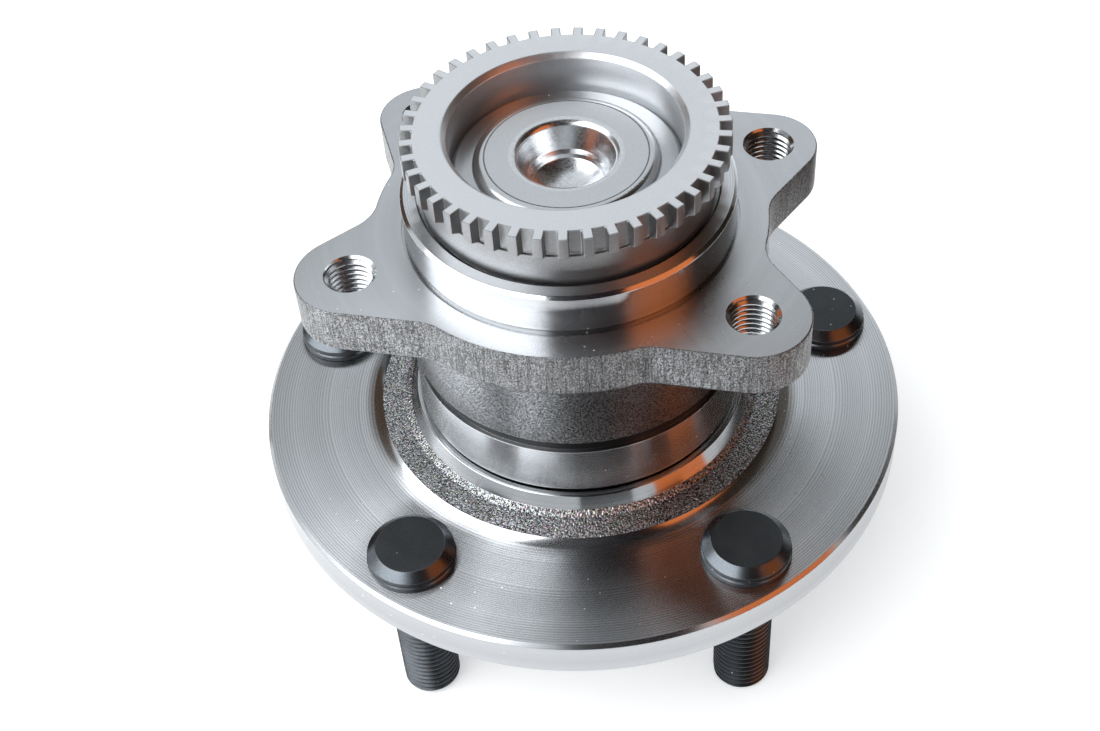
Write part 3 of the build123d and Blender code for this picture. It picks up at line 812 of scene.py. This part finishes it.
def makeOuterRing():
    turnedPart, spigot, forged, rimSide, ground, face, thread, relief, collar, mouth = range(10)
    sizes = outerRing
    foot, top, inner = sizes["flangeFoot"], sizes["face"], sizes["faceInner"]
    grooveRadius, lowGroove, highGroove = seats["outerGroove"]
    corners = [
        (inner, top, 0, turnedPart), (inner, 58.4, 0, turnedPart), (32.6, 58.4, 0, turnedPart),
        (32.6, 59.6, 0, turnedPart), (33.0, 59.6, 0, spigot), (33.0, 67.2, 0.3, spigot), (32.3, 67.9, 0.2, mouth),
        (29.9, 67.9, 0, mouth), (29.5, 67.5, 0, ground), (29.5, 59.9, 0, ground), (29.28, 59.9, 0, ground),
        (29.28, 54.747, 0, ground), grooveCorner(grooveRadius, highGroove, seats["groove"], 20.05, -57.6, ground),
        (27.28, 48.866, 0, ground), (27.28, 32.134, 0, ground),
        grooveCorner(grooveRadius, lowGroove, seats["groove"], 57.6, -20.05, ground), (29.28, 26.253, 0, ground),
        (29.28, 20.3, 0, ground), (29.5, 20.3, 0, ground), (29.5, 14.9, 0, ground), (29.9, 14.5, 0, turnedPart),
        (33.85, 14.5, 0.2, collar), (34.35, 15.0, 0.2, collar), (34.35, 26.3, 0.25, collar),
        # The relief groove takes the painted shadow finish
        (33.3, 26.3, 0.2, relief), (33.3, 28.9, 0.2, relief), (34.35, 28.9, 0.5, forged),
        (sizes["coneTop"], foot, 0, forged),
    ]
    bm = bmesh.new()
    spinProfile(bm, corners)
    plate = makeKnucklePlate(rimSide)
    scratch = bpy.data.meshes.new("plateScratch")
    plate.to_mesh(scratch)
    plate.free()
    bm.from_mesh(scratch)
    bpy.data.meshes.remove(scratch)
    chamfer = sizes["threadMinor"] + sizes["holeChamfer"]

    def holeLimit(height, radius):
        return max(radius, chamfer - (top - height), chamfer - (height - foot))

    for x, y in (sizes["lowerHole"], sizes["upperHole"]):
        for side in (-1, 1):
            threadTube(bm, (side * x, y), foot, top, sizes["threadMinor"], sizes["threadMajor"],
                       sizes["threadPitch"], holeLimit, thread)
    fillFlat(bm, top, face)
    fillFlat(bm, foot, forged)
    closeShape(bm)
    finishes = [turnedSteel, spigotSteel, forgedSteel, forgedRimSteel, groundSteel, knuckleSteel, threadSteel,
                reliefShadowSteel, collarSteel, mouthSteel]
    finishPiece("outerRingForging", bm, finishes, "fixed_side", "outer_ring")


makeOuterRing()
print("outer ring ready")


# Inner ring, its end face showing round the formed head

def makeInnerRing():
    ground, edge = range(2)
    race, land, spindle, foot, top = [seats[k] for k in ("race", "land", "spindle", "ringFoot", "ringTop")]
    grooveRadius, _, grooveHeight = seats["innerGroove"]
    corners = [
        (spindle + 0.4, foot, 0, ground), (land, foot, 0, ground), (land, 50.883, 0, ground),
        grooveCorner(grooveRadius, grooveHeight, seats["groove"], -155.4, -244.5, ground), (race, 57.416, 0, ground),
        (race, top - 1, 0.35, edge), (race - 1, top, 0.35, edge), (spindle + 1.5, top, 0, ground),
        (spindle, top - 1.5, 0, ground), (spindle, foot + 0.4, 0, ground),
    ]
    bm = bmesh.new()
    spinProfile(bm, corners, closed=True)
    closeShape(bm)
    finishPiece("innerRingGround", bm, [groundSteel, turnedSteel], "turning_side", "inner_ring")


makeInnerRing()
print("inner ring ready")


# Tone ring with its teeth: one tooth and one slot, repeated round the axis

toneRing = {
    "teeth": 43, "turn": 3.99, "toothWidth": 1.95, "rootRadius": 29.3, "tipRadius": 31.7, "floorRadius": 29.9,
    "slotFloor": 75.3, "toothFoot": 76.35, "top": 81.0, "edgeBreak": 0.2,
    "foot": 66.8, "neck": 28.8, "neckTop": 67.2, "mouth": 23.691, "mouthFoot": 79.95,
}


def levelOf(face):
    return face.calc_center_median().z / mm


def radiusOf(face):
    return face.calc_center_median().xy.length / mm


# The narrow slice of the ring behind one tooth; returns the far end of the slice
def drawToothSlice(bm, halfTooth):
    root, floor, top, bore = toneRing["rootRadius"], toneRing["slotFloor"], toneRing["top"], seats["race"]
    corners = [
        (bore, toneRing["foot"]), (toneRing["neck"], toneRing["foot"]), (toneRing["neck"], toneRing["neckTop"]),
        (toneRing["floorRadius"], floor), (root, floor), (root, toneRing["toothFoot"]), (root, top),
        (toneRing["mouth"], top), (bore, toneRing["mouthFoot"]),
    ]
    start = Matrix.Rotation(math.radians(toneRing["turn"] - halfTooth), 4, "Z")
    line = [bm.verts.new(start @ Vector((radius * mm, 0, height * mm))) for radius, height in corners]
    edges = [bm.edges.new(pair) for pair in zip(line, line[1:] + line[:1])]
    return spin(bm, line + edges, 2 * halfTooth, 2)


def deleteFaces(bm, faces):
    bmesh.ops.delete(bm, geom=faces, context="FACES_ONLY")


# Draws the tooth out of the slice, its foot sloping down to the floor of the slots
def pullTooth(bm):
    root, floor, tip = toneRing["rootRadius"], toneRing["slotFloor"], toneRing["tipRadius"]
    aboveFloor = floor + 0.3
    wall = [f for f in bm.faces if levelOf(f) > aboveFloor and abs(radiusOf(f) - root) < 0.05]
    deleteFaces(bm, [f for f in bm.faces if abs(levelOf(f) - floor) < 0.01])
    grown = bmesh.ops.extrude_face_region(bm, geom=wall)
    for vert in onlyVerts(grown["geom"]):
        if vert.co.z / mm > aboveFloor:
            vert.co += compass(toneRing["turn"]) * (tip - root) * mm
        else:
            vert.co.xy *= toneRing["floorRadius"] / root
    deleteFaces(bm, [f for f in wall if f.is_valid])
    deleteFaces(bm, [f for f in bm.faces if abs(levelOf(f) - floor) < 0.01])


# Rebuilds a shape with its corners and faces in one order, so that its bevels come out the same in each run,
# and leaves out edges that no face uses
def putInOrder(bm):
    corners = sorted(bm.verts, key=lambda vert: vert.co.dot(orderDirection))
    places = {vert: place for place, vert in enumerate(corners)}
    points = [[round(value, 9) for value in vert.co] for vert in corners]
    rings = []
    for face in bm.faces:
        ring = [places[vert] for vert in face.verts]
        start = ring.index(min(ring))
        ring = ring[start:] + ring[:start]
        rings.append(ring if ring[1] < ring[-1] else ring[:1] + ring[:0:-1])
    bm.clear()
    verts = [bm.verts.new(point) for point in points]
    for ring in sorted(rings):
        bm.faces.new([verts[place] for place in ring])


def makeToneRing():
    body, topFace, bore = range(3)
    root, top = toneRing["rootRadius"], toneRing["top"]
    step = 360 / toneRing["teeth"]
    halfTooth = math.degrees(math.asin(toneRing["toothWidth"] / 2 / root))
    bm = bmesh.new()
    end = drawToothSlice(bm, halfTooth)
    pullTooth(bm)
    spin(bm, [part for part in end if part.is_valid], step - 2 * halfTooth, 3)
    bmesh.ops.remove_doubles(bm, verts=bm.verts, dist=weldDistance)
    putInOrder(bm)
    spin(bm, bm.verts[:] + bm.edges[:] + bm.faces[:], 360 - step, toneRing["teeth"] - 1, copies=True)
    closeShape(bm)
    deleteFaces(bm, [f for f in bm.faces if len(f.edges) == 4 and all(len(e.link_faces) > 2 for e in f.edges)])
    sharp = [e for e in bm.edges if len(e.link_faces) == 2 and e.calc_face_angle() > math.radians(30)]
    bevel(bm, sharp, toneRing["edgeBreak"] * mm, 2)
    bmesh.ops.recalc_face_normals(bm, faces=bm.faces)
    boreBand = (seats["race"] + root) / 2
    for face in bm.faces:
        inner = bore if radiusOf(face) < boreBand else body
        # The top face takes the lighter finish with its painted light
        face.material_index = topFace if abs(levelOf(face) - top) < 0.02 else inner
    odd = [e for e in bm.edges if len(e.link_faces) != 2]
    print("tone ring faces", len(bm.faces), "open or doubled edges", len(odd))
    finishes = [sinteredIron, sinteredTopLit, sinteredBore]
    finishPiece("toneRingToothed", bm, finishes, "turning_side", "tone_ring")


makeToneRing()
print("tone ring ready")


# Wheel studs: head pressed in from the inboard side, plain seat in the flange, M12 x 1.5 thread

stud = {
    "tip": -32.5, "tipRadius": 4.9, "tipSlope": 0.92, "minor": 5.1, "major": 6.0, "pitch": 1.5, "threadEnd": 0.0,
    "runOut": 3.0, "headSteps": 72,
}


def makeStud(number):
    coated, rubbedAndLit, thread = range(3)
    face, seat = hub["flangeFace"], hub["studHole"]
    # The chamfers take the rubbed phosphate with its painted highlight
    corners = [
        (0, 13.2, 0, coated), (6.95, 13.2, 0, rubbedAndLit), (7.1, 13.15, 0.1, rubbedAndLit), (8.9, 11.45, 0.25, coated),
        (8.8, 10.35, 0.1, rubbedAndLit), (9.1, 10.05, 0.1, coated), (9.1, 9.15, 0.1, coated), (8.95, face, 0, coated),
        (seat, face, 0, coated), (seat, 0.6, 0, coated), (stud["major"], 0, 0, coated),
    ]
    bm = bmesh.new()
    spinProfile(bm, corners, steps=stud["headSteps"])

    def shankLimit(height, radius):
        tip = stud["tipRadius"] + (height - stud["tip"]) * stud["tipSlope"]
        full = min(radius, tip)
        fade = min(max((height + stud["runOut"]) / stud["runOut"], 0), 1)
        return full + (stud["major"] - full) * fade

    threadTube(bm, (0, 0), stud["tip"], stud["threadEnd"], stud["minor"], stud["major"], stud["pitch"], shankLimit,
               thread)
    fillFlat(bm, stud["tip"], coated)
    bmesh.ops.translate(bm, vec=studPlace(number - 1), verts=bm.verts)
    closeShape(bm)
    finishes = [phosphate, phosphateWearAndHighlight, phosphateThread]
    finishPiece(f"wheelStud{number}", bm, finishes, "turning_side", f"wheel_stud_{number}")


for number in range(1, hub["studCount"] + 1):
    makeStud(number)
print("wheel studs ready")
